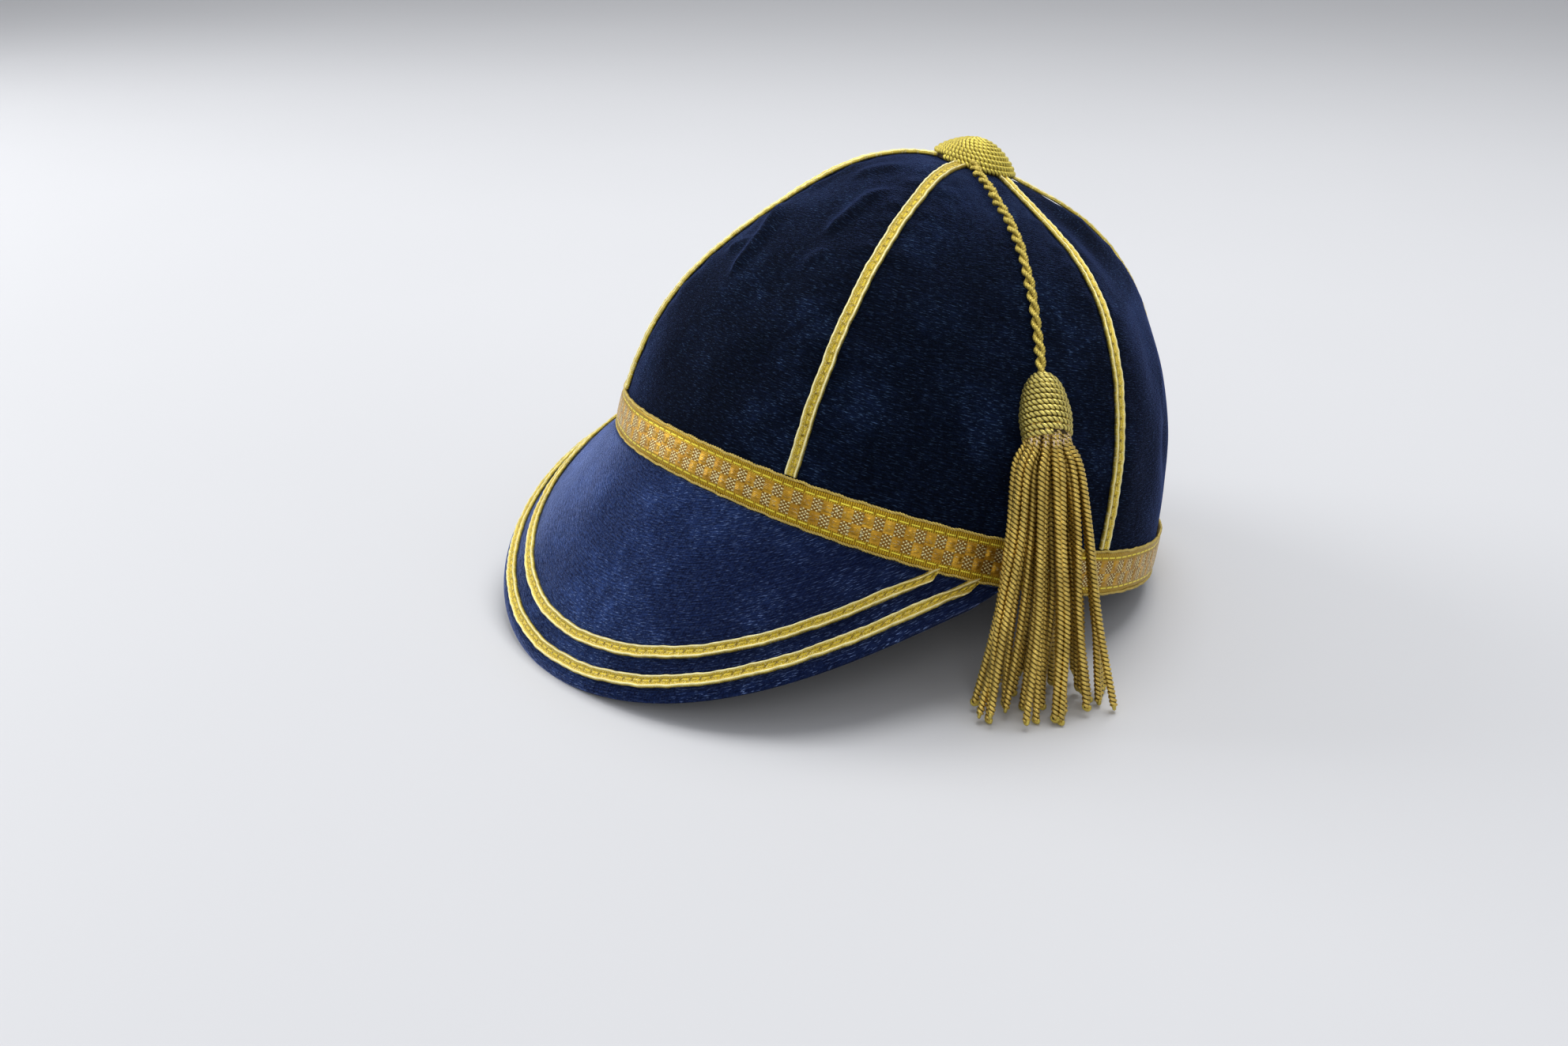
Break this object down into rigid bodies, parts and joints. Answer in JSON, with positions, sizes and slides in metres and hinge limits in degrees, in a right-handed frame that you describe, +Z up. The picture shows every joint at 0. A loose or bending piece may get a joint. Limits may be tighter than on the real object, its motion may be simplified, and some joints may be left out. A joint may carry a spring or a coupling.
{
  "type": "honours cap",
  "caption": "Velvet honours cap with gold braid on its seams and peak, a gold lace band, a wound button and a bullion tassel on a twisted cord.",
  "frame": {"origin": "on the surface that the cap rests on, under the middle of the cap's bounding box without its cord and tassel", "axes": "+Z up, +Y from the front of the peak to the back of the crown, +X to the wearer's left"},
  "size_m": [0.2221, 0.2378, 0.1466],
  "materials": {
    "velvet": "dark navy velvet with a soft nap",
    "peak_velvet": "navy velvet with the nap brushed to a lighter blue",
    "gold_braid": "flat gold thread braid of two raised cords",
    "gold_lace": "woven gold lace ribbon with stitched edges",
    "gold_cord": "twisted gold thread cord",
    "gold_bullion": "twisted bullion wire strands, old gold"
  },
  "bodies": {
    "root": {"crown_panel_front": "velvet", "crown_panel_left_front": "velvet", "crown_panel_left_back": "velvet", "crown_panel_back": "velvet", "crown_panel_right_back": "velvet", "crown_panel_right_front": "velvet", "seam_braid_left_front": "gold_braid", "seam_braid_left_side": "gold_braid", "seam_braid_left_back": "gold_braid", "seam_braid_right_front": "gold_braid", "seam_braid_right_side": "gold_braid", "seam_braid_right_back": "gold_braid", "crown_band": "gold_lace", "crown_button": "gold_cord", "peak": "peak_velvet", "peak_braid_outer": "gold_braid", "peak_braid_inner": "gold_braid", "tassel_cord": "gold_cord", "tassel": "gold_bullion"}
  },
  "joints": []
}
